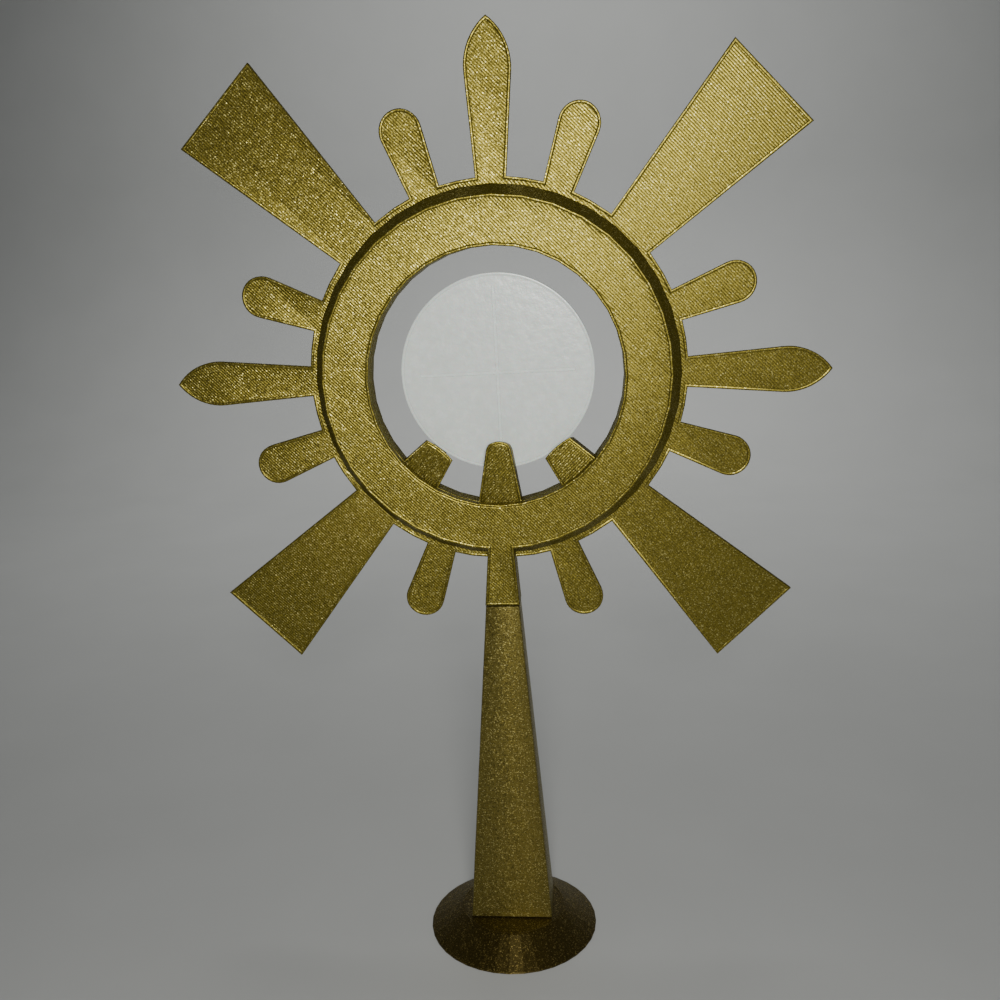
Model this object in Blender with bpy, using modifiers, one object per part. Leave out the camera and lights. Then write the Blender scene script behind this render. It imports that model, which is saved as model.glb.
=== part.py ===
"""Small printed monstrance: a sunburst head with a host, on an obelisk stem and a round foot.

Metres, +Z up. The origin is the centre of the foot's underside, and the front faces -Y.
The head is built round the sunburst's centre, SUN_HEIGHT above the origin.
"""
import math

import bmesh
import bpy

MM = 0.001

# Shared by every piece
GAP = 0.2 * MM                   # clearance between two touching prints
DOWEL_CLEARANCE = 0.08 * MM      # radial clearance of a dowel in its hole
ROUND_SEGMENTS = 36              # every large circle is a 36-sided polygon
SUN_HEIGHT = 99.2 * MM           # sunburst centre above the foot's underside
HEAD_DEPTH = 5.0 * MM            # the head from its front face to its back, centred on the stem
PLATE_THICKNESS = 1.0 * MM       # the sunburst plate, at the back of the head

# Sunburst plate: rim and fifteen rays
RIM_RADIUS = 30.0 * MM
FLARED_ANGLES = (45, 135, 225, 315)
FLARED_HALF_ANGLE = math.radians(7.96)
FLARED_REACH = 58.7 * MM
LANCE_ANGLES = (0, 90, 180)
LANCE_HALF_ANGLE = math.radians(4.5)
LANCE_SHOULDER = 44.5 * MM       # where the straight sides turn into the pointed arch
LANCE_REACH = 52.0 * MM
ROUNDED_ANGLES = (20, 70, 110, 160, 200, 250, 290, 340)
ROUNDED_HALF_ANGLE = math.radians(4.7)
ROUNDED_REACH = 42.4 * MM
NECK_ANGLE = 270
SEAT_RADIUS = 22.3 * MM          # opening of the plate, which the lunette ring fills

# Raised ring and the neck under it
RING_BASE_RADIUS = 29.0 * MM
RING_FACE_RADIUS = 27.4 * MM
OPENING_RADIUS = 20.0 * MM
NECK_HALF_ANGLE = math.radians(4.4)
NECK_ROOT = 24.0 * MM            # inside the ring's solid part
NECK_REACH = 37.0 * MM

# Lunette: the ring with three prongs before the host, and the crescent behind it
LUNETTE_DEPTH = 3.2 * MM
LUNETTE_RADIUS = SEAT_RADIUS - GAP
PRONG_ANGLES = (230, 270, 310)
PRONG_HALF_ANGLE = math.radians(10)
PRONG_TIPS = (15.05 * MM, 10.5 * MM, 15.05 * MM)
PRONG_CROWNS = (0.3 * MM, 1.25 * MM, 0.3 * MM)
PRONG_LEAN = 0.955                # a prong's end in front, as a share of its reach behind
CRESCENT_START = 205
CRESCENT_END = 335
CRESCENT_INNER = 21.3 * MM       # kept out of sight behind the ring's opening
CRESCENT_OUTER = 24.5 * MM
HOOK_HALF_ANGLE = math.radians(4.5)
HOOK_TIPS = (13.0 * MM, 11.6 * MM, 13.0 * MM)
POST_SLACKS = (0.7 * MM, 0.0, 0.7 * MM)    # the host stands on the middle post, clear of the side ones
KEEPER_THICKNESS = 1.5 * MM

# Host
HOST_RADIUS = 15.5 * MM
HOST_THICKNESS = 2.0 * MM
HOST_OFFSET = 0.5 * MM
HOST_SEGMENTS = 72
CROSS_WIDTH = 0.7 * MM
CROSS_DEPTH = 0.25 * MM
CROSS_UPRIGHT = 27.0 * MM
CROSS_BEAM = 25.0 * MM

# Stem, foot and the two dowels
FOOT_RADIUS = 15.0 * MM
FOOT_TOP_RADIUS = 9.3 * MM
FOOT_HEIGHT = 3.8 * MM
FOOT_RIM = 0.4 * MM
STEM_TOP = (5.6 * MM, 5.0 * MM)      # width and depth where it meets the neck
STEM_BASE = (14.4 * MM, 9.2 * MM)    # width and depth where it stands on the foot
STEM_CORNER = 0.2 * MM
NECK_DOWEL_RADIUS = 1.2 * MM
NECK_DOWEL_HALF = 5.0 * MM       # its length in the neck, and again in the stem
FOOT_DOWEL_RADIUS = 2.0 * MM
FOOT_DOWEL_DOWN = 2.5 * MM       # its length in the foot
FOOT_DOWEL_UP = 6.0 * MM         # and in the stem
DOWEL_SEGMENTS = 32
DOWEL_CHAMFER = 0.3 * MM

# Levels that follow from the sizes above
PLATE_BACK = HEAD_DEPTH / 2
PLATE_FRONT = PLATE_BACK - PLATE_THICKNESS
RING_FRONT = -HEAD_DEPTH / 2
RING_BACK = PLATE_FRONT - GAP
PRONG_FRONT = PLATE_BACK - LUNETTE_DEPTH
HOST_FRONT = PLATE_BACK + GAP
HOST_BACK = HOST_FRONT + HOST_THICKNESS
NECK_END = SUN_HEIGHT - NECK_REACH
STEM_HIGH = NECK_END - GAP
STEM_LOW = FOOT_HEIGHT + GAP


def clear_scene():
    for obj in list(bpy.data.objects):
        bpy.data.objects.remove(obj, do_unlink=True)


def new_collection(name):
    collection = bpy.data.collections.new(name)
    bpy.context.scene.collection.children.link(collection)
    return collection


def new_material(name, colour, roughness, metallic):
    material = bpy.data.materials.new(name)
    material.use_nodes = True
    shader = material.node_tree.nodes["Principled BSDF"]
    shader.inputs["Base Color"].default_value = (*colour, 1.0)
    shader.inputs["Roughness"].default_value = roughness
    shader.inputs["Metallic"].default_value = metallic
    material.diffuse_color = (*colour, 1.0)
    return material


# ---------------------------------------------------------------- flat outlines

def polar(radius, angle):
    return (radius * math.cos(angle), radius * math.sin(angle))


def along_ray(angle, points):
    """Turn (distance out, distance to the left) pairs into plan points for a ray at this angle."""
    c = math.cos(angle)
    s = math.sin(angle)
    return [(out * c - left * s, out * s + left * c) for out, left in points]


def arc_between(radius, start, end):
    """The corners of the large polygon that lie strictly between two angles in degrees."""
    step = 360 / ROUND_SEGMENTS
    first = math.floor(start / step + 1e-6) + 1
    last = math.ceil(end / step - 1e-6)
    return [polar(radius, math.radians(k * step)) for k in range(first, last)]


def flared_ray(angle):
    half_end = FLARED_REACH * math.tan(FLARED_HALF_ANGLE)
    root = RIM_RADIUS * math.cos(FLARED_HALF_ANGLE)
    half_root = RIM_RADIUS * math.sin(FLARED_HALF_ANGLE)
    side = [(root, -half_root), (FLARED_REACH, -half_end)]
    return along_ray(angle, side + [(out, -left) for out, left in reversed(side)])


def rounded_ray(angle):
    """Straight sides that run into a full round end, tangent to both of them."""
    sine = math.sin(ROUNDED_HALF_ANGLE)
    centre = ROUNDED_REACH / (1 + sine)
    radius = centre * sine
    sweep = math.pi / 2 + ROUNDED_HALF_ANGLE
    steps = 16
    points = [(RIM_RADIUS * math.cos(ROUNDED_HALF_ANGLE), -RIM_RADIUS * sine)]
    for k in range(steps + 1):
        turn = -sweep + 2 * sweep * k / steps
        points.append((centre + radius * math.cos(turn), radius * math.sin(turn)))
    points.append((RIM_RADIUS * math.cos(ROUNDED_HALF_ANGLE), RIM_RADIUS * sine))
    return along_ray(angle, points)


def lance_ray(angle):
    """Straight sides up to the shoulder, then two arcs that meet in a point."""
    sine = math.sin(LANCE_HALF_ANGLE)
    cosine = math.cos(LANCE_HALF_ANGLE)
    half = LANCE_SHOULDER * math.tan(LANCE_HALF_ANGLE)
    rise = LANCE_REACH - LANCE_SHOULDER
    radius = (rise ** 2 + half ** 2) / (2 * (rise * sine + half * cosine))
    start = math.pi / 2 + LANCE_HALF_ANGLE
    centre_out = LANCE_SHOULDER + radius * sine
    centre_left = half - radius * cosine
    end = math.asin(-centre_left / radius)
    steps = 10
    side = [(RIM_RADIUS * cosine, RIM_RADIUS * sine)]
    for k in range(steps):
        turn = start + (end - start) * k / steps
        side.append((centre_out + radius * math.cos(turn), centre_left + radius * math.sin(turn)))
    right = [(out, -left) for out, left in side]
    return along_ray(angle, right + [(LANCE_REACH, 0.0)] + side[::-1])


def sunburst_outline():
    features = [(angle, flared_ray, FLARED_HALF_ANGLE) for angle in FLARED_ANGLES]
    features += [(angle, rounded_ray, ROUNDED_HALF_ANGLE) for angle in ROUNDED_ANGLES]
    features += [(angle, lance_ray, LANCE_HALF_ANGLE) for angle in LANCE_ANGLES]
    features.sort(key=lambda feature: feature[0])
    points = []
    for index, (angle, shape, half_angle) in enumerate(features):
        points += shape(math.radians(angle))
        following, _, next_half = features[(index + 1) % len(features)]
        if following <= angle:
            following += 360
        points += arc_between(RIM_RADIUS, angle + math.degrees(half_angle),
                              following - math.degrees(next_half))
    return points


def circle_outline(radius):
    return [polar(radius, math.radians(k * 360 / ROUND_SEGMENTS)) for k in range(ROUND_SEGMENTS)]


def crowned_tip(tip, crown, power, half_angle):
    """The end of a prong: a crown as high as stated, from one side of the wedge to the other."""
    half = (tip + crown) * math.tan(half_angle)
    steps = 12
    points = []
    for k in range(steps + 1):
        t = -1 + 2 * k / steps
        points.append((tip + crown * (1 - (1 - t * t) ** power), t * half))
    return points


def prong(index):
    """A wedge that points inwards; the middle prong's end is a full arch."""
    angle = math.radians(PRONG_ANGLES[index])
    power = 0.5 if PRONG_ANGLES[index] == NECK_ANGLE else 1.0
    tip = crowned_tip(PRONG_TIPS[index], PRONG_CROWNS[index], power, PRONG_HALF_ANGLE)
    root = OPENING_RADIUS * math.cos(PRONG_HALF_ANGLE)
    half_root = OPENING_RADIUS * math.sin(PRONG_HALF_ANGLE)
    return along_ray(angle, [(root, -half_root)] + tip + [(root, half_root)])


def pronged_outline():
    half = math.degrees(PRONG_HALF_ANGLE)
    points = []
    for index, angle in enumerate(PRONG_ANGLES):
        points += prong(index)
        following = PRONG_ANGLES[(index + 1) % len(PRONG_ANGLES)]
        if following <= angle:
            following += 360
        points += arc_between(OPENING_RADIUS, angle + half, following - half)
    return points


def host_seat_distance(angle):
    """How far from the ring's centre the host's edge lies in this direction, with a gap added."""
    along = HOST_OFFSET * math.sin(angle)
    radius = HOST_RADIUS + GAP
    return along + math.sqrt(radius ** 2 - HOST_OFFSET ** 2 + along ** 2)


def crescent_outline(hook_distance):
    """A crescent with three hooks inwards, whose ends follow hook_distance(index, angle)."""
    start = math.radians(CRESCENT_START)
    end = math.radians(CRESCENT_END)
    points = [polar(CRESCENT_OUTER, start)]
    points += arc_between(CRESCENT_OUTER, CRESCENT_START, CRESCENT_END)
    points += [polar(CRESCENT_OUTER, end)]
    inner = [polar(CRESCENT_INNER, start)]
    cursor = CRESCENT_START
    steps = 4
    for index, degrees in enumerate(PRONG_ANGLES):
        angle = math.radians(degrees)
        half = math.degrees(HOOK_HALF_ANGLE)
        inner += arc_between(CRESCENT_INNER, cursor, degrees - half)
        inner.append(polar(CRESCENT_INNER, angle - HOOK_HALF_ANGLE))
        for k in range(steps + 1):
            turn = angle - HOOK_HALF_ANGLE + 2 * HOOK_HALF_ANGLE * k / steps
            inner.append(polar(hook_distance(index, turn), turn))
        inner.append(polar(CRESCENT_INNER, angle + HOOK_HALF_ANGLE))
        cursor = degrees + half
    inner += arc_between(CRESCENT_INNER, cursor, CRESCENT_END)
    inner.append(polar(CRESCENT_INNER, end))
    return points + inner[::-1]


def neck_outline():
    half_root = NECK_ROOT * math.tan(NECK_HALF_ANGLE)
    half_end = NECK_REACH * math.tan(NECK_HALF_ANGLE)
    points = [(NECK_ROOT, -half_root), (NECK_REACH, -half_end), (NECK_REACH, half_end),
              (NECK_ROOT, half_root)]
    return along_ray(math.radians(NECK_ANGLE), points)


# ---------------------------------------------------------------- solids

def add_object(name, mesh, collection, material=None):
    obj = bpy.data.objects.new(name, mesh)
    collection.objects.link(obj)
    if material:
        mesh.materials.append(material)
    return obj


def upright_plate(name, outlines, front, back, collection, material=None):
    """A flat outline stood up facing -Y, centred on the sunburst, from front to back along Y."""
    curve = bpy.data.curves.new(name + "_outline", "CURVE")
    curve.dimensions = "2D"
    curve.fill_mode = "BOTH"
    curve.extrude = (back - front) / 2
    for outline in outlines:
        spline = curve.splines.new("POLY")
        spline.points.add(len(outline) - 1)
        for point, (x, y) in zip(spline.points, outline):
            point.co = (x, y, 0.0, 1.0)
        spline.use_cyclic_u = True
    guide = bpy.data.objects.new(name + "_outline", curve)
    collection.objects.link(guide)
    guide.location = (0.0, (front + back) / 2, SUN_HEIGHT)
    guide.rotation_euler = (math.pi / 2, 0.0, 0.0)
    bpy.context.view_layer.update()
    evaluated = guide.evaluated_get(bpy.context.evaluated_depsgraph_get())
    mesh = bpy.data.meshes.new_from_object(evaluated)
    weld(mesh)
    obj = add_object(name, mesh, collection, material)
    obj.matrix_world = guide.matrix_world.copy()
    bpy.data.objects.remove(guide, do_unlink=True)
    return obj


def weld(mesh):
    bm = bmesh.new()
    bm.from_mesh(mesh)
    bmesh.ops.remove_doubles(bm, verts=bm.verts, dist=1e-6)
    bmesh.ops.recalc_face_normals(bm, faces=bm.faces)
    bm.to_mesh(mesh)
    bm.free()


def turned(name, profile, segments, collection, material=None):
    """Turn a profile of (radius, height) pairs about Z; it runs down its outer side."""
    mesh = bpy.data.meshes.new(name)
    vertices = [(radius, 0.0, height) for radius, height in profile]
    edges = [(k, k + 1) for k in range(len(profile) - 1)]
    mesh.from_pydata(vertices, edges, [])
    obj = add_object(name, mesh, collection, material)
    screw = obj.modifiers.new("turn", "SCREW")
    screw.axis = "Z"
    screw.angle = 2 * math.pi
    screw.steps = segments
    screw.render_steps = segments
    screw.use_merge_vertices = True
    screw.merge_threshold = 1e-6
    screw.use_smooth_shade = False
    return obj


def boolean(target, other, operation):
    modifier = target.modifiers.new(operation.lower() + "_" + other.name, "BOOLEAN")
    modifier.operation = operation
    modifier.solver = "EXACT"
    modifier.object = other


def make_cutter(obj):
    obj.hide_render = True
    obj.display_type = "WIRE"


def cylinder(name, radius, low, high, collection, segments=DOWEL_SEGMENTS):
    mesh = bpy.data.meshes.new(name)
    bm = bmesh.new()
    bmesh.ops.create_cone(bm, cap_ends=True, segments=segments, radius1=radius, radius2=radius,
                          depth=high - low)
    bm.to_mesh(mesh)
    bm.free()
    obj = add_object(name, mesh, collection)
    obj.location = (0.0, 0.0, (low + high) / 2)
    return obj


def block(name, size, centre, collection):
    mesh = bpy.data.meshes.new(name)
    bm = bmesh.new()
    bmesh.ops.create_cube(bm, size=1.0)
    bmesh.ops.scale(bm, vec=size, verts=bm.verts)
    bm.to_mesh(mesh)
    bm.free()
    obj = add_object(name, mesh, collection)
    obj.location = centre
    return obj


# ---------------------------------------------------------------- sub-parts

def build_sunburst_plate(parts, gold):
    return upright_plate("sunburst_plate", [sunburst_outline(), circle_outline(SEAT_RADIUS)],
                         PLATE_FRONT, PLATE_BACK, parts, gold)


def build_ring_frame(parts, cutters, gold):
    """The tapered ring, rebated behind for the lunette, with the neck that runs down from it.

    The neck lies in front of the plate's rim, and reaches the head's back below it.
    """
    shoulder = PRONG_FRONT - GAP
    profile = [
        (OPENING_RADIUS, -RING_FRONT),
        (RING_FACE_RADIUS, -RING_FRONT),
        (RING_BASE_RADIUS, -RING_BACK),
        (SEAT_RADIUS, -RING_BACK),
        (SEAT_RADIUS, -shoulder),
        (OPENING_RADIUS, -shoulder),
        (OPENING_RADIUS, -RING_FRONT),
    ]
    ring = turned("ring_frame", profile, ROUND_SEGMENTS, parts, gold)
    ring.location = (0.0, 0.0, SUN_HEIGHT)
    ring.rotation_euler = (math.pi / 2, 0.0, 0.0)
    neck = upright_plate("neck_bar", [neck_outline()], RING_FRONT, PLATE_BACK, cutters)
    make_cutter(neck)
    boolean(neck, neck_relief(cutters), "DIFFERENCE")
    boolean(ring, neck, "UNION")
    boolean(ring, dowel_hole("neck_dowel_hole", NECK_DOWEL_RADIUS, NECK_END, NECK_DOWEL_HALF, cutters),
            "DIFFERENCE")
    return ring


def neck_relief(cutters):
    """Room behind the neck for the plate's rim, a hair deeper than the ring's back face."""
    hair = 0.05 * MM
    depth = 2 * PLATE_THICKNESS
    height = RIM_RADIUS
    relief = block("neck_relief", (height, depth, height),
                   (0.0, RING_BACK - hair + depth / 2, SUN_HEIGHT - RIM_RADIUS - GAP + height / 2), cutters)
    make_cutter(relief)
    return relief


def dowel_hole(name, dowel_radius, mouth, depth, cutters):
    """A round cutter that reaches from the mouth by depth, up if positive, and a little past the mouth."""
    overshoot = math.copysign(1.0 * MM, depth)
    bottom = mouth + depth + math.copysign(GAP, depth)
    low, high = sorted((mouth - overshoot, bottom))
    hole = cylinder(name, dowel_radius + DOWEL_CLEARANCE, low, high, cutters)
    make_cutter(hole)
    return hole


def build_lunette_ring(parts, gold):
    """The inner ring, with prongs whose ends slope down towards the back."""
    ring = upright_plate("lunette_ring", [circle_outline(LUNETTE_RADIUS), pronged_outline()],
                         PRONG_FRONT, PLATE_BACK, parts, gold)
    for vertex in ring.data.vertices:
        in_front = vertex.co.z > 0
        on_prong_end = math.hypot(vertex.co.x, vertex.co.y) < OPENING_RADIUS - GAP
        if in_front and on_prong_end:
            vertex.co.x *= PRONG_LEAN
            vertex.co.y *= PRONG_LEAN
    return ring


def build_rear_crescent(parts, cutters, gold):
    """A spacer as deep as the host, with a thinner keeper behind it whose hooks reach over the host."""
    spacer_back = HOST_BACK + GAP
    overlap = 0.1 * MM
    seat = crescent_outline(lambda index, turn: host_seat_distance(turn) + POST_SLACKS[index])
    crescent = upright_plate("rear_crescent", [seat], PLATE_BACK + GAP, spacer_back + overlap, parts, gold)
    hooks = crescent_outline(lambda index, turn: HOOK_TIPS[index])
    keeper = upright_plate("crescent_keeper", [hooks], spacer_back, spacer_back + KEEPER_THICKNESS, cutters)
    make_cutter(keeper)
    boolean(crescent, keeper, "UNION")
    return crescent


def build_host(parts, cutters, white):
    """A round wafer with a shallow cross sunk in its front face."""
    edge = 0.2 * MM
    profile = [
        (0.0, HOST_THICKNESS / 2),
        (HOST_RADIUS - edge, HOST_THICKNESS / 2),
        (HOST_RADIUS, HOST_THICKNESS / 2 - edge),
        (HOST_RADIUS, -HOST_THICKNESS / 2 + edge),
        (HOST_RADIUS - edge, -HOST_THICKNESS / 2),
        (0.0, -HOST_THICKNESS / 2),
    ]
    host = turned("host", profile, HOST_SEGMENTS, parts, white)
    host.location = (0.0, (HOST_FRONT + HOST_BACK) / 2, SUN_HEIGHT + HOST_OFFSET)
    host.rotation_euler = (math.pi / 2, 0.0, 0.0)
    for name, width, height in (("cross_upright", CROSS_WIDTH, CROSS_UPRIGHT),
                                ("cross_beam", CROSS_BEAM, CROSS_WIDTH)):
        groove = block(name, (width, 2 * CROSS_DEPTH, height),
                       (0.0, HOST_FRONT, SUN_HEIGHT + HOST_OFFSET), cutters)
        make_cutter(groove)
        boolean(host, groove, "DIFFERENCE")
    return host


def build_stem(parts, cutters, gold):
    """A tapered rectangular obelisk with softened corners and a dowel hole in each end."""
    height = STEM_HIGH - STEM_LOW
    mesh = bpy.data.meshes.new("stem")
    bm = bmesh.new()
    bmesh.ops.create_cube(bm, size=1.0)
    for vertex in bm.verts:
        width, depth = STEM_TOP if vertex.co.z > 0 else STEM_BASE
        vertex.co.x *= width
        vertex.co.y *= depth
        vertex.co.z *= height
    uprights = [edge for edge in bm.edges if edge.verts[0].co.z * edge.verts[1].co.z < 0]
    bmesh.ops.bevel(bm, geom=uprights, offset=STEM_CORNER, segments=2, profile=0.5, affect="EDGES")
    bm.to_mesh(mesh)
    bm.free()
    stem = add_object("stem", mesh, parts, gold)
    stem.location = (0.0, 0.0, (STEM_HIGH + STEM_LOW) / 2)
    boolean(stem, dowel_hole("stem_top_hole", NECK_DOWEL_RADIUS, STEM_HIGH, -NECK_DOWEL_HALF, cutters),
            "DIFFERENCE")
    boolean(stem, dowel_hole("stem_foot_hole", FOOT_DOWEL_RADIUS, STEM_LOW, FOOT_DOWEL_UP, cutters),
            "DIFFERENCE")
    return stem


def build_foot(parts, cutters, gold):
    """A low cone with a narrow upright rim, flat on top where the stem stands."""
    profile = [
        (0.0, FOOT_HEIGHT),
        (FOOT_TOP_RADIUS, FOOT_HEIGHT),
        (FOOT_RADIUS, FOOT_RIM),
        (FOOT_RADIUS, 0.0),
        (0.0, 0.0),
    ]
    foot = turned("foot", profile, ROUND_SEGMENTS, parts, gold)
    boolean(foot, dowel_hole("foot_hole", FOOT_DOWEL_RADIUS, FOOT_HEIGHT, -FOOT_DOWEL_DOWN, cutters),
            "DIFFERENCE")
    return foot


def build_dowel(name, radius, low, high, parts, material):
    profile = [
        (0.0, high),
        (radius - DOWEL_CHAMFER, high),
        (radius, high - DOWEL_CHAMFER),
        (radius, low + DOWEL_CHAMFER),
        (radius - DOWEL_CHAMFER, low),
        (0.0, low),
    ]
    return turned(name, profile, DOWEL_SEGMENTS, parts, material)


def main():
    clear_scene()
    parts = new_collection("monstrance")
    cutters = new_collection("cutters")
    gold = new_material("gold_glitter_plastic", (0.27, 0.21, 0.05), 0.42, 0.6)
    dark_gold = new_material("dark_gold_plastic", (0.17, 0.12, 0.03), 0.4, 0.6)
    white = new_material("white_plastic", (0.8, 0.82, 0.8), 0.45, 0.0)
    build_sunburst_plate(parts, gold)
    build_ring_frame(parts, cutters, gold)
    build_lunette_ring(parts, gold)
    build_rear_crescent(parts, cutters, gold)
    build_host(parts, cutters, white)
    build_stem(parts, cutters, gold)
    build_foot(parts, cutters, dark_gold)
    build_dowel("neck_dowel", NECK_DOWEL_RADIUS, STEM_HIGH - NECK_DOWEL_HALF, NECK_END + NECK_DOWEL_HALF,
                parts, gold)
    build_dowel("foot_dowel", FOOT_DOWEL_RADIUS, FOOT_HEIGHT - FOOT_DOWEL_DOWN, STEM_LOW + FOOT_DOWEL_UP,
                parts, dark_gold)


main()
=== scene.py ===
"""Looks of the small printed monstrance: every print layer, top line and glitter flake.

The head was printed lying on its back, so its layers stack along Y. The stem and the foot were
printed standing, so theirs stack along Z. The pieces' sizes come from the CAD frame, and their detail
from the print's settings below.
"""
import math

import bmesh
import bpy
import numpy as np
from mathutils import Matrix, Vector


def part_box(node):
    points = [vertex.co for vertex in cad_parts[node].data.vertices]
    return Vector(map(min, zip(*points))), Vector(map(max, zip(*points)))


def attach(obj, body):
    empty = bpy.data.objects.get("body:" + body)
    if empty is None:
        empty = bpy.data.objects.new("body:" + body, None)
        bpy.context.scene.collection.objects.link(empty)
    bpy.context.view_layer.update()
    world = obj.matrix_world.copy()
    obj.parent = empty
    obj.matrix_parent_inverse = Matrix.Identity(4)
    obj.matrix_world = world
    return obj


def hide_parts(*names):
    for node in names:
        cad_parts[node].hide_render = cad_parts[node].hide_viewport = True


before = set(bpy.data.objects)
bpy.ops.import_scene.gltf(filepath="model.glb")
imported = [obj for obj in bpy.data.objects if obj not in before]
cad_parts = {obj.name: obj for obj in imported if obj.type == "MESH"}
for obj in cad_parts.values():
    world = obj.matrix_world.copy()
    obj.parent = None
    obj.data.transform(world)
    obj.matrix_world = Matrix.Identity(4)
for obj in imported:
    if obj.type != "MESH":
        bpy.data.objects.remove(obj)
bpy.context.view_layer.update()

MM = 0.001

# How the printer lays its plastic
LAYER = 0.2 * MM                  # height of one layer
FINE_LAYER = 0.1 * MM             # height of one layer in the foot
LINE_PITCH = 0.377 * MM           # from one line to the next on a top surface
LINE_SINK = 0.045 * MM            # how deep the groove between two top lines is
PRONG_SINK = 0.06 * MM            # the same on the prongs, where the lines stand out more
BED_SINK = 0.014 * MM             # the same on a face that was pressed on the bed
RIM_LINE = 0.42 * MM              # width of the single line that follows every outline
RIM_SINK = 0.06 * MM              # groove between that line and the lines inside it
BED_RIM = 0.5                     # that line's rounding on the bed's side, as a share of the other side's
FALLING = Vector((1, 0, -1)).normalized()       # top lines that fall to the right
RISING = Vector((1, 0, 1)).normalized()         # top lines that rise to the right
ACROSS_TOP = Vector((1, -1, 0)).normalized()    # top lines of the pieces printed standing

# Rounding of the outline's line, as (distance in from the wall, depth below the face)
RIM_PROFILE = (
    (RIM_LINE + 0.10 * MM, 0.0),
    (RIM_LINE, RIM_SINK),
    (0.33 * MM, 0.012 * MM),
    (0.20 * MM, 0.0),
    (0.08 * MM, 0.012 * MM),
    (0.015 * MM, 0.055 * MM),
)

# Bulge of one layer, as (distance in from the widest part, share of the layer's height)
GROOVE_SIDE = ((0.05 * MM, 0.0), (0.012 * MM, 0.15))
WIDEST = ((0.0, 0.4), (0.0, 0.6))
UPPER_SIDE = ((0.012 * MM, 0.85),)

# Rounding of a layer's upper edge where the next one steps back, as (distance in, share of the layer)
SHOULDER = ((0.012 * MM, 0.75), (0.03 * MM, 0.92), (0.055 * MM, 1.0))

# The host and the cross in its face
HOST_SIDES = 96
HOST_SLACK = 0.01 * MM            # how much smaller the host's radius is here than in the CAD
CROSS_WIDTH = 0.62 * MM           # width of its upright and of its beam
CROSS_DEPTH = 0.16 * MM
CROSS_UPRIGHT = 27.0 * MM         # length of the upright
CROSS_BEAM = 25.0 * MM            # length of the beam
CROSS_SLANT = 0.10 * MM           # how far each side of the groove leans in
CROSS_TILT = math.radians(1.2)

# The other pieces
KEEPER = 1.5 * MM                 # thickness of the keeper in the CAD
NECK_ROOT = 0.05 * MM             # how far the neck's hidden first layer keeps inside the rest of it
PAST_RING = 1.0 * MM              # corners further out than this belong to the neck, not to the ring
STEM_CORNER = 0.25 * MM           # radius of the stem's upright edges
FOOT_SIDES = 36
FOOT_UPRIGHT = 4                  # layers of the foot under its cone
BORE_AIR = 0.08 * MM              # air round a dowel in its hole
PAST_MOUTH = 1.0 * MM             # how far a cutter stands out of the hole that it cuts

# Shading and matching
SMOOTH_ANGLE = 40                 # degrees; a sharper edge is shaded sharp
CROSS_ANGLE = 10                  # the same on the host, where the groove's edges stay sharp
SAME_PLACE = 1e-6                 # metres; corners nearer than this are on one level
SAME_FACE = 1e-7                  # the same for the faces of one flat end
FACING = 0.9999                   # cosine above which a face looks along a direction

# Colours of the glitter filament, as (gap between flakes, satin body, bright flake), with the flakes' tilt
GOLD = ((0.08, 0.064, 0.008), (0.17, 0.138, 0.018), (0.45, 0.40, 0.14), 0.24)
# A paler, bluer copy of the same gold for the stem: its colour is painted sheen of the clear plastic
GOLD_PAINTED_SHEEN = ((0.09, 0.073, 0.018), (0.195, 0.159, 0.036), (0.52, 0.46, 0.18), 0.24)
# A darker copy of the same gold for the foot: its colour is painted shade
SHADED_GOLD = ((0.05, 0.036, 0.008), (0.085, 0.063, 0.014), (0.40, 0.31, 0.10), 0.13)
FLAKES_PER_METRE = 7000.0
GLITTER_ROUGHNESS = 0.36
ROUGHNESS_SPREAD = 0.06
GLITTER_METALLIC = 0.8

FRONT = Vector((0, -1, 0))
BACK = Vector((0, 1, 0))
TOP = Vector((0, 0, 1))
UNDERSIDE = Vector((0, 0, -1))

SUN_HEIGHT = sum(corner.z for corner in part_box("lunette_ring")) / 2


# ---------------------------------------------------------------- outlines

def face_outlines(node, level):
    """Closed outlines of the CAD node's faces at one level along Y, as (x, z) corners.

    Seen from the front, the material is on the left of every outline.
    """
    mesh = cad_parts[node].data
    place = {}
    following = {}
    for polygon in mesh.polygons:
        corners = [mesh.vertices[index].co for index in polygon.vertices]
        if any(abs(corner.y - level) > SAME_PLACE for corner in corners):
            continue
        keys = [(round(corner.x * 1e7), round(corner.z * 1e7)) for corner in corners]
        if polygon.normal.y > 0:
            keys.reverse()
            corners.reverse()
        for k, key in enumerate(keys):
            place[key] = (corners[k].x, corners[k].z)
            following.setdefault(key, set()).add(keys[(k + 1) % len(keys)])
    boundary = {}
    for key, nexts in following.items():
        for other in nexts:
            if key not in following.get(other, ()):
                boundary[key] = other
    outlines = []
    while boundary:
        key, other = boundary.popitem()
        keys = [key]
        while other in boundary:
            keys.append(other)
            other = boundary.pop(other)
        outlines.append(straightened(np.array([place[k] for k in keys])))
    return sorted(outlines, key=lambda outline: -np.ptp(outline[:, 0]))


def straightened(points):
    """The outline without the corners that lie on a straight run."""
    before = points - np.roll(points, 1, 0)
    after = np.roll(points, -1, 0) - points
    turn = before[:, 0] * after[:, 1] - before[:, 1] * after[:, 0]
    sine = turn / (np.linalg.norm(before, axis=1) * np.linalg.norm(after, axis=1))
    return points[np.abs(sine) > 1e-3]


def inset(points, distance):
    """Every corner moved into the material, on its left, with mitred corners."""
    before = points - np.roll(points, 1, 0)
    after = np.roll(points, -1, 0) - points
    before /= np.linalg.norm(before, axis=1)[:, None]
    after /= np.linalg.norm(after, axis=1)[:, None]
    left = np.stack([-before[:, 1] - after[:, 1], before[:, 0] + after[:, 0]], axis=1)
    share = 1 + (before * after).sum(1)
    return points + distance * left / share[:, None]


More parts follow.
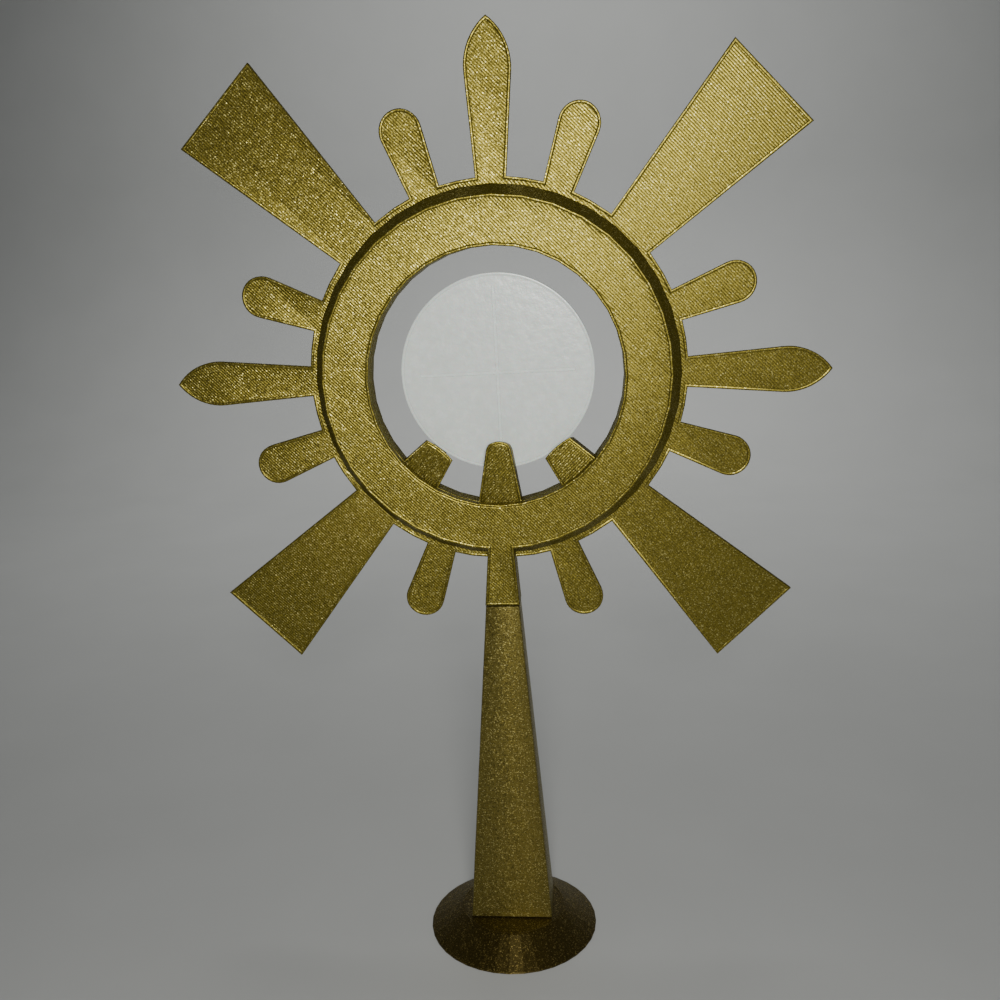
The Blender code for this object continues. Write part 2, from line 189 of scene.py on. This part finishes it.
def circle(radius, segments, centre=(0.0, 0.0)):
    """A regular polygon, whose first corner is on the right."""
    turn = np.arange(segments) * 2 * math.pi / segments
    return np.stack([centre[0] + radius * np.cos(turn), centre[1] + radius * np.sin(turn)], axis=1)


def rounded_rectangle(half_width, half_depth, corner):
    """A rectangle about the origin, with three points round each corner."""
    points = []
    for quarter in range(4):
        x = (half_width - corner) * (1 if quarter in (0, 3) else -1)
        y = (half_depth - corner) * (1 if quarter in (0, 1) else -1)
        for step in range(3):
            turn = math.radians(90 * quarter + 45 * step)
            points.append((x + corner * math.cos(turn), y + corner * math.sin(turn)))
    return np.array(points)


# ---------------------------------------------------------------- layered solids

def lying(outline, level):
    """Corners of an outline in the head, whose layers stack along Y."""
    return [Vector((x, level, z)) for x, z in outline]


def standing(outline, level):
    """Corners of an outline in the stem or the foot, whose layers stack along Z."""
    return [Vector((x, y, level)) for x, y in outline]


def wall(bm, place, levels, facets):
    """Walls through a run of (outlines, level) pairs; gives back the first and last rings."""
    rings = []
    for outlines, level in levels:
        rings.append([[bm.verts.new(corner) for corner in place(outline, level)] for outline in outlines])
    for low, high in zip(rings, rings[1:]):
        for first, second in zip(low, high):
            for k in range(len(first)):
                bm.faces.new((first[k - 1], first[k], second[k], second[k - 1]))
            for start, end in zip(first, second):
                bm.edges.get((start, end)).smooth = not facets
    return rings[0], rings[-1]


def lid(bm, rings):
    """Flat faces that close the rings, holes and all."""
    edges = []
    for ring in rings:
        edges += [bm.edges.get((ring[k - 1], ring[k])) for k in range(len(ring))]
    bmesh.ops.triangle_fill(bm, use_beauty=True, use_dissolve=False, edges=edges)


def draw_lines(piece, normal, direction, sink):
    """Cut the outermost flat face along every crest and groove of its lines, and sink the grooves.

    The cuts are half a line apart. A corner's depth runs from 0 on a crest to 1 in a groove, whose
    edges stay sharp, as do the face's own borders.
    """
    bm = bmesh.new()
    bm.from_mesh(piece.data)
    level = max(vertex.co.dot(normal) for vertex in bm.verts)
    faces = [face for face in bm.faces
             if face.normal.dot(normal) > FACING
             and abs(face.verts[0].co.dot(normal) - level) < SAME_FACE]
    across = direction.cross(normal).normalized()
    geometry = list(faces)
    geometry += {edge for face in faces for edge in face.edges}
    geometry += {vertex for face in faces for vertex in face.verts}
    reach = [vertex.co.dot(across) for face in faces for vertex in face.verts]
    half = LINE_PITCH / 2
    for k in range(math.ceil(min(reach) / half), math.floor(max(reach) / half) + 1):
        cut = bmesh.ops.bisect_plane(bm, geom=geometry, dist=1e-8, plane_co=across * (k * half),
                                     plane_no=across)
        geometry = cut["geom"]
    depth = {}
    for vertex in (item for item in geometry if isinstance(item, bmesh.types.BMVert)):
        phase = (vertex.co.dot(across) / LINE_PITCH) % 1.0
        depth[vertex] = abs(2 * phase - 1)
        vertex.co -= normal * sink * depth[vertex]
    drawn = {item for item in geometry if isinstance(item, bmesh.types.BMFace)}
    for edge in (item for item in geometry if isinstance(item, bmesh.types.BMEdge)):
        in_groove = min(depth[vertex] for vertex in edge.verts) > 0.99
        on_border = any(face not in drawn for face in edge.link_faces)
        if in_groove or on_border:
            edge.smooth = False
    bm.to_mesh(piece.data)
    bm.free()


def rim(outlines, level, into, depth=1.0):
    """The rounded line along the outlines of a face, from the lines inside it out to the wall."""
    return [([inset(outline, distance) for outline in outlines], level + into * sunk * depth)
            for distance, sunk in RIM_PROFILE]


def layered_walls(outlines_at, start, count, into, height=LAYER, shoulder=()):
    """Bulging layers, where outlines_at(layer) gives the outlines of each one.

    The first layer starts at its widest and the last one ends there, because a rim rounds them off.
    """
    levels = []
    for layer in range(count):
        outlines = outlines_at(layer)
        low = start + into * height * layer
        profile = WIDEST
        if layer > 0:
            profile = GROOVE_SIDE + profile
        if layer < count - 1:
            profile += shoulder or UPPER_SIDE
        for distance, share in profile:
            levels.append(([inset(outline, distance) for outline in outlines], low + into * height * share))
    return levels


def shade(bm, sharp):
    """Smooth shading, except across edges that turn by more than the sharp angle."""
    for face in bm.faces:
        face.smooth = True
    for edge in bm.edges:
        if edge.calc_face_angle(0.0) > math.radians(sharp):
            edge.smooth = False


def finish_mesh(name, bm):
    """A new object with the finished mesh, its faces pointing out."""
    bmesh.ops.recalc_face_normals(bm, faces=bm.faces)
    shade(bm, SMOOTH_ANGLE)
    mesh = bpy.data.meshes.new(name)
    bm.to_mesh(mesh)
    bm.free()
    piece = bpy.data.objects.new(name, mesh)
    bpy.context.scene.collection.objects.link(piece)
    return piece


def printed_plate(name, outlines_at, front, back, facets=False):
    """A plate printed lying on its back, with flat faces that have no lines yet."""
    bm = bmesh.new()
    count = round((back - front) / LAYER)
    levels = rim(outlines_at(0), front, 1)
    levels += layered_walls(outlines_at, front, count, 1)
    levels += reversed(rim(outlines_at(count - 1), back, -1, BED_RIM))
    for ring in wall(bm, lying, levels, facets):
        lid(bm, ring)
    return finish_mesh(name, bm)


def applied(piece, operation, other, sharp=SMOOTH_ANGLE):
    """The piece after a Boolean with another object, which is removed."""
    modifier = piece.modifiers.new(operation.lower(), "BOOLEAN")
    modifier.operation = operation
    modifier.solver = "MANIFOLD"
    modifier.object = other
    evaluated = piece.evaluated_get(bpy.context.evaluated_depsgraph_get())
    mesh = bpy.data.meshes.new_from_object(evaluated)
    piece.modifiers.clear()
    bm = bmesh.new()
    bm.from_mesh(mesh)
    shade(bm, sharp)
    bm.to_mesh(mesh)
    bm.free()
    piece.data = mesh
    bpy.data.objects.remove(other, do_unlink=True)
    return piece


def cylinder(radius, low, high, segments=32):
    """An upright cylinder on the stem's axis, for boring a dowel's hole."""
    bm = bmesh.new()
    middle = Matrix.Translation((0.0, 0.0, (low + high) / 2))
    bmesh.ops.create_cone(bm, cap_ends=True, segments=segments, radius1=radius, radius2=radius,
                          depth=high - low, matrix=middle)
    return finish_mesh("bore", bm)


def bored(piece, dowel, mouth):
    """The piece with a blind hole that takes the end of a dowel, from the mouth inwards.

    The mouth is the height of the piece's lower or upper end.
    """
    low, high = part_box(dowel)
    body_low, body_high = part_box(piece.name.removesuffix("_print"))
    radius = (high.x - low.x) / 2 + BORE_AIR
    if abs(body_low.z - mouth) < abs(body_high.z - mouth):
        hole = cylinder(radius, mouth - PAST_MOUTH, high.z + LAYER)
    else:
        hole = cylinder(radius, low.z - LAYER, mouth + PAST_MOUTH)
    return applied(piece, "DIFFERENCE", hole)


# ---------------------------------------------------------------- materials

class Nodes:
    """A short way to add nodes to a material."""

    def __init__(self, name):
        self.material = bpy.data.materials.new(name)
        self.material.use_nodes = True
        self.tree = self.material.node_tree
        self.shader = self.tree.nodes["Principled BSDF"]

    def add(self, kind, inputs=None, **settings):
        """A new node; an input is a number, a colour or another node's output."""
        node = self.tree.nodes.new(kind)
        for key, value in settings.items():
            setattr(node, key, value)
        for key, value in (inputs or {}).items():
            if isinstance(value, bpy.types.NodeSocket):
                self.tree.links.new(value, node.inputs[key])
            else:
                node.inputs[key].default_value = value
        return node

    def link(self, output, socket):
        """Join an output to one of the shader's own sockets."""
        self.tree.links.new(output, self.shader.inputs[socket])

    def ramp(self, factor, stops):
        """The colour that the factor picks from (position, colour) stops."""
        node = self.add("ShaderNodeValToRGB", {"Fac": factor})
        elements = node.color_ramp.elements
        while len(elements) < len(stops):
            elements.new(0.5)
        for element, (position, colour) in zip(elements, stops):
            element.position = position
            element.color = (*colour, 1.0)
        return node.outputs["Color"]

    def value_range(self, value, low, high):
        """The value, from 0 to 1, spread from low to high."""
        return self.add("ShaderNodeMapRange", {"Value": value, "To Min": low, "To Max": high}).outputs[0]


def glitter(name, gap, body, bright, tilt):
    """Glitter filament: flakes about 0.15 mm across in a clear satin body, each tilted its own way.

    A flake's three random numbers set its colour, how much it tilts and its roughness.
    """
    nodes = Nodes(name)
    place = nodes.add("ShaderNodeTexCoord").outputs["Object"]
    flakes = nodes.add("ShaderNodeTexVoronoi", {"Vector": place, "Scale": FLAKES_PER_METRE})
    split = nodes.add("ShaderNodeSeparateColor", {"Color": flakes.outputs["Color"]})
    shade = nodes.ramp(split.outputs["Red"], ((0.0, gap), (0.45, body), (0.86, body), (1.0, bright)))
    cloud = nodes.add("ShaderNodeTexNoise", {"Vector": place, "Scale": 160.0, "Detail": 3.0})
    tone = nodes.value_range(cloud.outputs["Fac"], 0.9, 1.1)
    toned = nodes.add("ShaderNodeVectorMath", {0: shade, 3: tone}, operation="SCALE")
    nodes.link(toned.outputs[0], "Base Color")

    centred = nodes.add("ShaderNodeVectorMath", {0: flakes.outputs["Color"], 1: (0.5, 0.5, 0.5)},
                        operation="SUBTRACT")
    amount = nodes.ramp(split.outputs["Green"], ((0.0, (0.2,) * 3), (0.7, (0.4,) * 3), (1.0, (1.0,) * 3)))
    tilted = nodes.add("ShaderNodeVectorMath", {0: centred.outputs[0], 1: amount}, operation="MULTIPLY")
    scaled = nodes.add("ShaderNodeVectorMath", {0: tilted.outputs[0], 3: tilt}, operation="SCALE")
    grain = nodes.add("ShaderNodeTexNoise", {"Vector": place, "Scale": 9000.0, "Detail": 1.0})
    bump = nodes.add("ShaderNodeBump", {"Height": grain.outputs["Fac"], "Strength": 0.2,
                                        "Distance": 0.00002})
    summed = nodes.add("ShaderNodeVectorMath", {0: bump.outputs["Normal"], 1: scaled.outputs[0]},
                       operation="ADD")
    unit = nodes.add("ShaderNodeVectorMath", {0: summed.outputs[0]}, operation="NORMALIZE")
    nodes.link(unit.outputs[0], "Normal")

    roughness = nodes.value_range(split.outputs["Blue"], GLITTER_ROUGHNESS - ROUGHNESS_SPREAD,
                                  GLITTER_ROUGHNESS + ROUGHNESS_SPREAD)
    nodes.link(roughness, "Roughness")
    nodes.shader.inputs["Metallic"].default_value = GLITTER_METALLIC
    nodes.shader.inputs["Specular IOR Level"].default_value = 0.3
    nodes.shader.inputs["Coat Weight"].default_value = 0.05
    nodes.shader.inputs["Coat Roughness"].default_value = 0.4
    return nodes.material


def white_plastic():
    """Smooth white filament, faintly mottled where it was pressed on the bed."""
    nodes = Nodes("white_plastic")
    place = nodes.add("ShaderNodeTexCoord").outputs["Object"]
    mottle = nodes.add("ShaderNodeTexNoise", {"Vector": place, "Scale": 900.0, "Detail": 4.0})
    fine = nodes.add("ShaderNodeTexNoise", {"Vector": place, "Scale": 2600.0, "Detail": 2.0})
    colour = nodes.ramp(mottle.outputs["Fac"], ((0.3, (0.74, 0.79, 0.75)), (0.7, (0.80, 0.85, 0.81))))
    nodes.link(colour, "Base Color")
    nodes.link(nodes.value_range(mottle.outputs["Fac"], 0.16, 0.36), "Roughness")
    rough = nodes.add("ShaderNodeBump", {"Height": fine.outputs["Fac"], "Strength": 0.3,
                                         "Distance": 0.00003})
    waves = nodes.add("ShaderNodeBump", {"Height": mottle.outputs["Fac"], "Strength": 0.5,
                                         "Distance": 0.0001, "Normal": rough.outputs["Normal"]})
    nodes.link(waves.outputs["Normal"], "Normal")
    nodes.shader.inputs["Subsurface Weight"].default_value = 0.15
    nodes.shader.inputs["Subsurface Scale"].default_value = 0.001
    return nodes.material


def floor_material():
    """Matt pale grey, very slightly clouded."""
    nodes = Nodes("floor")
    place = nodes.add("ShaderNodeTexCoord").outputs["Object"]
    cloud = nodes.add("ShaderNodeTexNoise", {"Vector": place, "Scale": 30.0, "Detail": 3.0})
    colour = nodes.ramp(cloud.outputs["Fac"], ((0.3, (0.53, 0.54, 0.53)), (0.7, (0.55, 0.56, 0.55))))
    nodes.link(colour, "Base Color")
    nodes.shader.inputs["Roughness"].default_value = 0.8
    return nodes.material


# ---------------------------------------------------------------- pieces of the head

def build_sunburst_plate():
    """The flat plate with the rays and the rim."""
    low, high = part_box("sunburst_plate")
    outlines = face_outlines("sunburst_plate", low.y)
    plate = printed_plate("sunburst_plate_print", lambda layer: outlines, low.y, high.y)
    draw_lines(plate, FRONT, FALLING, LINE_SINK)
    draw_lines(plate, BACK, FALLING, BED_SINK)
    return plate


def aligned(outline, model):
    """The same outline, started at the corner that makes it follow the model corner by corner."""
    turns = [np.roll(outline, shift, 0) for shift in range(len(outline))]
    return min(turns, key=lambda turned: np.abs(turned - model).sum())


def build_lunette_ring():
    """The prongs' ends slope, so every layer lies between the front outline and the back one."""
    low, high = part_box("lunette_ring")
    front = face_outlines("lunette_ring", low.y)
    back = [aligned(outline, model) for outline, model in zip(face_outlines("lunette_ring", high.y), front)]
    last = round((high.y - low.y) / LAYER) - 1

    def outlines_at(layer):
        return [start + (end - start) * layer / last for start, end in zip(front, back)]

    ring = printed_plate("lunette_ring_print", outlines_at, low.y, high.y)
    draw_lines(ring, FRONT, RISING, PRONG_SINK)
    draw_lines(ring, BACK, FALLING, BED_SINK)
    return ring


def build_ring_frame():
    """The ring grows wider towards the back, one step each layer; the neck goes on to the plate's back.

    Behind the rebate the opening widens to a seat, one layer clear of the lunette ring.
    """
    low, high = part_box("ring_frame")
    outer, opening = face_outlines("ring_frame", low.y)
    neck = face_outlines("ring_frame", high.y)[0]
    ring_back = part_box("sunburst_plate")[0].y - LAYER
    centre = np.array((0.0, SUN_HEIGHT))
    distance = np.linalg.norm(outer - centre, axis=1)
    face_radius = sorted(distance)[len(distance) // 2]
    base_radius = (high.x - low.x) / 2
    on_ring = distance < face_radius + PAST_RING
    count = round((ring_back - low.y) / LAYER)
    lunette_low, lunette_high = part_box("lunette_ring")
    rebate = round((lunette_low.y - LAYER - low.y) / LAYER)
    seat_radius = lunette_high.x + LAYER
    seat = centre + (opening - centre) * seat_radius / np.linalg.norm(opening[0] - centre)

    def outlines_at(layer):
        radius = face_radius + (base_radius - face_radius) * layer / (count - 1)
        grown = outer.copy()
        grown[on_ring] = centre + (outer - centre)[on_ring] * radius / face_radius
        return [grown, opening if layer < rebate else seat]

    ring = printed_plate("ring_frame_print", outlines_at, low.y, ring_back, facets=True)
    root = inset(neck, NECK_ROOT)
    behind = printed_plate("neck_behind", lambda layer: [neck if layer else root], ring_back - LAYER, high.y)
    ring = bored(applied(ring, "UNION", behind), "neck_dowel", low.z)
    draw_lines(ring, FRONT, FALLING, LINE_SINK)
    draw_lines(ring, BACK, FALLING, BED_SINK)
    return ring


def build_rear_crescent():
    """The spacer under the host, and behind it the keeper with its hooks.

    The keeper starts one layer inside the spacer, so that the two join. Its hooks are therefore one
    layer thicker than in the CAD and touch the host's back.
    """
    low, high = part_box("rear_crescent")
    spacer = face_outlines("rear_crescent", low.y)
    keeper = face_outlines("rear_crescent", high.y)
    step = high.y - KEEPER
    crescent = printed_plate("rear_crescent_print", lambda layer: spacer, low.y, step)
    hooks = printed_plate("keeper", lambda layer: keeper, step - LAYER, high.y)
    crescent = applied(crescent, "UNION", hooks)
    draw_lines(crescent, FRONT, FALLING, BED_SINK)
    draw_lines(crescent, BACK, RISING, LINE_SINK)
    return crescent


def cross_groove(width, height, middle, face):
    """A cutter with slanted sides, turned a little as on the print."""
    bm = bmesh.new()
    bmesh.ops.create_cube(bm, size=1.0)
    bmesh.ops.scale(bm, vec=(width, 2 * CROSS_DEPTH, height), verts=bm.verts)
    for vertex in bm.verts:
        if vertex.co.y > 0:
            vertex.co.x -= math.copysign(CROSS_SLANT, vertex.co.x)
            vertex.co.z -= math.copysign(CROSS_SLANT, vertex.co.z)
    bmesh.ops.rotate(bm, matrix=Matrix.Rotation(-CROSS_TILT, 3, "Y"), verts=bm.verts)
    bmesh.ops.translate(bm, vec=(0.0, face, middle), verts=bm.verts)
    return finish_mesh("groove", bm)


def build_host():
    """The round white wafer, with the cross sunk in its face."""
    low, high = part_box("host")
    middle = (low.z + high.z) / 2
    outlines = [circle((high.x - low.x) / 2 - HOST_SLACK, HOST_SIDES, (0.0, middle))]
    host = printed_plate("host_print", lambda layer: outlines, low.y, high.y)
    for width, height in ((CROSS_WIDTH, CROSS_UPRIGHT), (CROSS_BEAM, CROSS_WIDTH)):
        host = applied(host, "DIFFERENCE", cross_groove(width, height, middle, low.y), CROSS_ANGLE)
    return host


# ---------------------------------------------------------------- stem and foot

def section(node, level):
    """Half the width and half the depth of a CAD node at one height."""
    corners = [v.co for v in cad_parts[node].data.vertices if abs(v.co.z - level) < SAME_PLACE]
    return (max(corner.x for corner in corners), max(corner.y for corner in corners))


def standing_print(name, outline_at, low, count, height=LAYER, shoulder=(), facets=False):
    """A piece printed standing up, with flat ends that have no lines yet."""
    bm = bmesh.new()
    high = low + count * height
    levels = rim([outline_at(0)], low, 1, BED_RIM)
    levels += layered_walls(lambda layer: [outline_at(layer)], low, count, 1, height, shoulder)
    levels += reversed(rim([outline_at(count - 1)], high, -1))
    for ring in wall(bm, standing, levels, facets):
        lid(bm, ring)
    return finish_mesh(name, bm)


def build_stem():
    """A tapered obelisk, with a dowel's hole in each end."""
    low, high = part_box("stem")
    base = section("stem", low.z)
    tip = section("stem", high.z)
    count = round((high.z - low.z) / LAYER)

    def outline_at(layer):
        share = layer / (count - 1)
        width, depth = (a + (b - a) * share for a, b in zip(base, tip))
        return rounded_rectangle(width, depth, STEM_CORNER)

    stem = standing_print("stem_print", outline_at, low.z, count)
    stem = bored(stem, "foot_dowel", low.z)
    stem = bored(stem, "neck_dowel", high.z)
    draw_lines(stem, TOP, ACROSS_TOP, LINE_SINK)
    draw_lines(stem, UNDERSIDE, ACROSS_TOP, BED_SINK)
    return stem


def build_foot():
    """A low cone in steps, one each layer, on a few upright layers."""
    low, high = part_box("foot")
    base = high.x
    tip = section("foot", high.z)[0]
    count = round((high.z - low.z) / FINE_LAYER)

    def outline_at(layer):
        share = max(0, layer - FOOT_UPRIGHT + 1) / (count - FOOT_UPRIGHT)
        return circle(base + (tip - base) * share, FOOT_SIDES)

    foot = standing_print("foot_print", outline_at, low.z, count, FINE_LAYER, SHOULDER, facets=True)
    foot = bored(foot, "foot_dowel", high.z)
    draw_lines(foot, TOP, ACROSS_TOP, LINE_SINK)
    draw_lines(foot, UNDERSIDE, ACROSS_TOP, BED_SINK)
    return foot


# ---------------------------------------------------------------- stage

def build_backdrop():
    """A pale sweep: a floor that curves up into a wall behind the object."""
    half_width = 1.3
    floor_front = -1.2
    floor_back = 0.24
    bend_start = 0.34
    bend = 0.16
    bend_steps = 12
    wall_middle = 0.6
    wall_top = 1.2
    profile = [(floor_front, 0.0), (floor_back, 0.0)]
    for step in range(bend_steps + 1):
        turn = math.radians(90 * step / bend_steps)
        profile.append((bend_start + bend * math.sin(turn), bend - bend * math.cos(turn)))
    profile += [(bend_start + bend, wall_middle), (bend_start + bend, wall_top)]
    bm = bmesh.new()
    sides = [[bm.verts.new((x, y, z)) for y, z in profile] for x in (-half_width, half_width)]
    for k in range(len(profile) - 1):
        bm.faces.new((sides[0][k], sides[1][k], sides[1][k + 1], sides[0][k + 1]))
    backdrop = finish_mesh("backdrop", bm)
    backdrop.data.materials.append(floor_material())


def area_light(name, place, aim, size, power, spread, colour):
    """A round softbox; its size is in metres, its power in watts and its spread in degrees."""
    data = bpy.data.lights.new(name, "AREA")
    data.shape = "DISK"
    data.spread = math.radians(spread)
    data.size = size
    data.energy = power
    data.color = colour
    light = bpy.data.objects.new(name, data)
    bpy.context.scene.collection.objects.link(light)
    light.location = place
    light.rotation_euler = (Vector(place) - Vector(aim)).to_track_quat("Z", "Y").to_euler()


def build_lights():
    """A soft key behind the camera and above it, and a softbox overhead that lights the backdrop."""
    area_light("key", place=(0.021, -0.23, 0.145), aim=(0.0, 0.0, 0.09), size=0.06, power=0.49,
               spread=180, colour=(1.0, 0.99, 0.95))
    area_light("background", place=(0.0, 0.18, 0.60), aim=(0.0, 0.44, 0.02), size=0.20, power=0.60,
               spread=90, colour=(1.0, 1.0, 0.98))
    world = bpy.data.worlds.new("studio")
    world.use_nodes = True
    background = world.node_tree.nodes["Background"]
    background.inputs["Color"].default_value = (0.62, 0.64, 0.68, 1.0)
    background.inputs["Strength"].default_value = 0.12
    bpy.context.scene.world = world


def build_camera():
    """A camera 16 cm in front of the stem and a little to its right, looking down by 16 degrees."""
    data = bpy.data.cameras.new("camera")
    data.lens = 37.34
    data.sensor_width = 36.0
    data.shift_x = 0.0103
    data.shift_y = 0.0539
    data.clip_start = 0.01
    camera = bpy.data.objects.new("camera", data)
    bpy.context.scene.collection.objects.link(camera)
    place = (0.01258, -0.1637, 0.1189)
    right = Vector((0.9963, 0.0787, -0.0350))
    down = Vector((-0.0112, -0.2851, -0.9584))
    forward = Vector((-0.0854, 0.9553, -0.2832))
    turn = Matrix((right, -down, -forward)).transposed()
    camera.matrix_world = Matrix.Translation(place) @ turn.to_4x4()
    bpy.context.scene.camera = camera


def dress(piece, node, body, material):
    """Put a piece in place of its CAD node, on its body, in its material."""
    piece.data.materials.clear()
    piece.data.materials.append(material)
    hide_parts(node)
    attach(piece, body)


def main():
    """Build every piece and put it on its body, then the stage round them."""
    gold = glitter("gold_glitter", *GOLD)
    # The paler copy paints sheen into the stem's colour
    pale = glitter("gold_glitter_painted_sheen", *GOLD_PAINTED_SHEEN)
    # The darker copy paints shade into the colour of the foot and its dowel
    foot_gold_painted_shade = glitter("gold_glitter_painted_shade", *SHADED_GOLD)
    white = white_plastic()
    dress(build_sunburst_plate(), "sunburst_plate", "head", gold)
    dress(build_ring_frame(), "ring_frame", "head", gold)
    dress(build_lunette_ring(), "lunette_ring", "head", gold)
    dress(build_rear_crescent(), "rear_crescent", "head", gold)
    dress(build_host(), "host", "host", white)
    # The stem takes the copy with painted sheen
    dress(build_stem(), "stem", "stem", pale)
    # The foot and its dowel take the copy with painted shade
    dress(build_foot(), "foot", "foot", foot_gold_painted_shade)
    for node, material in (("neck_dowel", gold), ("foot_dowel", foot_gold_painted_shade)):
        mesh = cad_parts[node].data
        mesh.materials.clear()
        mesh.materials.append(material)
    build_backdrop()
    build_lights()
    build_camera()


main()
